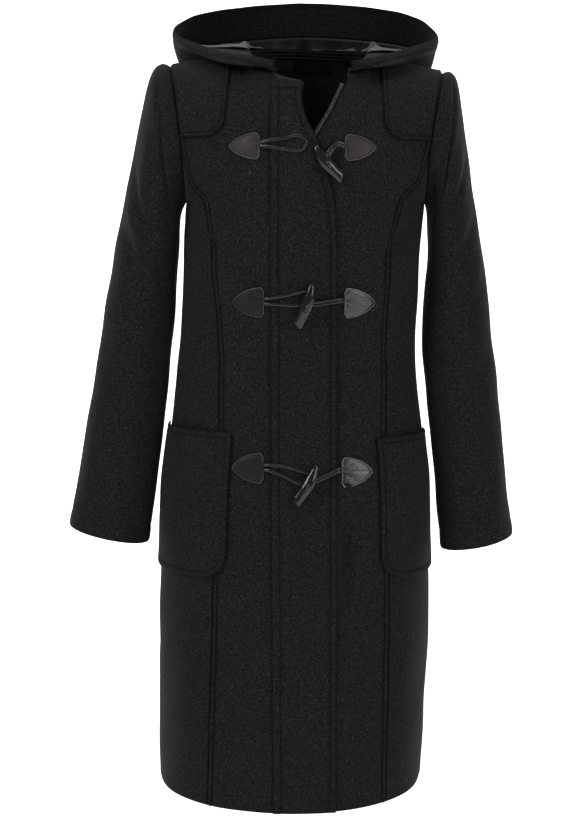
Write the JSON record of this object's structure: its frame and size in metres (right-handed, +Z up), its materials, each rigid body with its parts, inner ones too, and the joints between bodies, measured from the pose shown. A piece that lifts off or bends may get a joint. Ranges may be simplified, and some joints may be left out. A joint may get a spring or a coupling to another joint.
{
  "type": "duffle coat",
  "caption": "Knee-length hooded duffle coat with toggles, shoulder yokes, patch pockets and a laid-open hood, filled out with no wearer.",
  "frame": {"origin": "between the shoulders, at the level of the shoulder seams, where a wearer's shoulders hold the coat", "axes": "+Z up along the height of the coat, -Y out of its front, +X towards the wearer's left side"},
  "size_m": [0.61, 0.3659, 1.081],
  "materials": {
    "wool": "matt, felted wool with a short nap, near black",
    "satin": "soft satin lining, dark grey",
    "label_cloth": "blank black woven label",
    "zip_teeth": "black zip tape edge with dark metal teeth",
    "leather": "glossy very dark brown leather",
    "horn": "polished dark horn"
  },
  "bodies": {
    "root": {"front_centre_right": "wool", "front_centre_left": "wool", "front_side_right": "wool", "front_side_left": "wool", "back_right": "wool", "back_left": "wool", "sleeve_right": "wool", "sleeve_left": "wool", "placket": "wool", "yoke_right": "wool", "yoke_left": "wool", "pocket_right": "wool", "pocket_left": "wool", "hood_right": "wool", "hood_left": "wool", "hood_facing": "wool", "hood_lining": "satin", "neck_lining": "satin", "neck_label": "label_cloth", "zip_left": "zip_teeth", "patch_top_right": "leather", "patch_top_left": "leather", "patch_middle_right": "leather", "patch_middle_left": "leather", "patch_bottom_right": "leather", "patch_bottom_left": "leather", "loop_top": "leather", "loop_middle": "leather", "loop_bottom": "leather", "strap_top": "leather", "strap_middle": "leather", "strap_bottom": "leather", "toggle_top": "horn", "toggle_middle": "horn", "toggle_bottom": "horn"}
  },
  "joints": []
}
